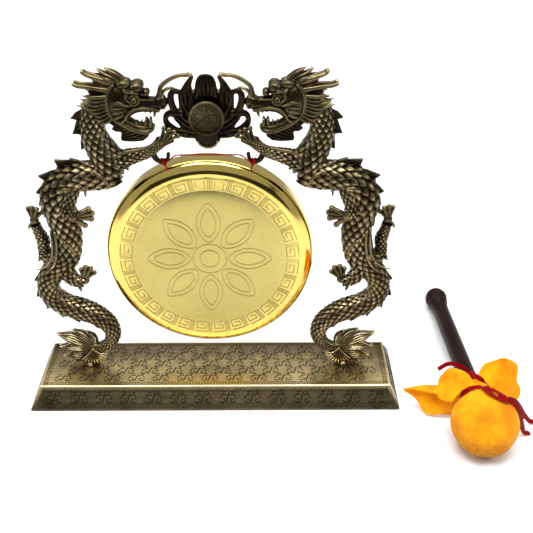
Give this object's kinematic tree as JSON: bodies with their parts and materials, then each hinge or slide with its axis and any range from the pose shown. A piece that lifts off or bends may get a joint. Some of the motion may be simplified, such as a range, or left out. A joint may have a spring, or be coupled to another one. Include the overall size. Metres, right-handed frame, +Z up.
{
  "type": "desktop gong on a double-dragon stand",
  "caption": "Polished brass gong hung by a red cord between two cast bronze dragons on a stamped base, with a loose velvet-headed mallet.",
  "frame": {"origin": "centre of the base's felt underside, on the surface it stands on", "axes": "+X along the base to the right, +Y to the back (the gong's face looks towards -Y), +Z up"},
  "size_m": [0.3784, 0.2125, 0.2534],
  "materials": {
    "antique_bronze": "cast, blackened in the recesses and rubbed bright on the high points",
    "stamped_brass": "stamped sheet with an antiqued, darkened ground",
    "fibreboard": "plain pressed board",
    "black_felt": "short felt",
    "zinc_steel": "zinc plated",
    "polished_brass": "mirror polished, satin in the middle",
    "red_cord": "twisted cord",
    "dark_wood": "dark brown gloss lacquer",
    "yellow_velvet": "short pile velvet",
    "red_ribbon": "satin ribbon"
  },
  "bodies": {
    "stand": {"left_dragon_body": "antique_bronze", "left_dragon_head": "antique_bronze", "left_lower_jaw": "antique_bronze", "left_brow_tuft": "antique_bronze", "left_cheek_mane": "antique_bronze", "left_beard": "antique_bronze", "left_upper_horn": "antique_bronze", "left_lower_horn": "antique_bronze", "left_whisker": "antique_bronze", "left_nose_curl": "antique_bronze", "left_neck_crest": "antique_bronze", "left_back_crest": "antique_bronze", "left_tail_crest": "antique_bronze", "left_raised_foreleg": "antique_bronze", "left_hook": "antique_bronze", "left_lower_foreleg": "antique_bronze", "left_inner_hind_leg": "antique_bronze", "left_outer_hind_leg": "antique_bronze", "left_tail_fin": "antique_bronze", "left_foot_post": "antique_bronze", "right_dragon_body": "antique_bronze", "right_dragon_head": "antique_bronze", "right_lower_jaw": "antique_bronze", "right_brow_tuft": "antique_bronze", "right_cheek_mane": "antique_bronze", "right_beard": "antique_bronze", "right_upper_horn": "antique_bronze", "right_lower_horn": "antique_bronze", "right_whisker": "antique_bronze", "right_nose_curl": "antique_bronze", "right_neck_crest": "antique_bronze", "right_back_crest": "antique_bronze", "right_tail_crest": "antique_bronze", "right_raised_foreleg": "antique_bronze", "right_hook": "antique_bronze", "right_lower_foreleg": "antique_bronze", "right_inner_hind_leg": "antique_bronze", "right_outer_hind_leg": "antique_bronze", "right_tail_fin": "antique_bronze", "right_foot_post": "antique_bronze", "flame_plaque": "antique_bronze", "pearl_disc": "antique_bronze", "pearl_rivet": "antique_bronze", "base_cover": "stamped_brass", "base_board": "fibreboard", "base_felt": "black_felt", "left_foot_screw": "zinc_steel", "right_foot_screw": "zinc_steel"},
    "gong": {"gong_disc": "polished_brass", "gong_cord": "red_cord"},
    "mallet": {"handle": "dark_wood", "mallet_core": "dark_wood", "velvet_ball": "yellow_velvet", "velvet_ruffle": "yellow_velvet", "ribbon_tie": "red_ribbon", "ribbon_bow": "red_ribbon", "ribbon_tail_long": "red_ribbon", "ribbon_tail_short": "red_ribbon"}
  },
  "joints": [
    {"name": "gong_swing", "type": "hinge", "parent": "stand", "child": "gong", "pos_m": [0, -0.001, 0.1887], "axis": [1, 0, 0], "range_deg": [-20, 20]},
    {"name": "mallet_lift", "type": "slide", "parent": "stand", "child": "mallet", "axis": [0, 0, 1], "range_m": [0, 0.15]}
  ]
}
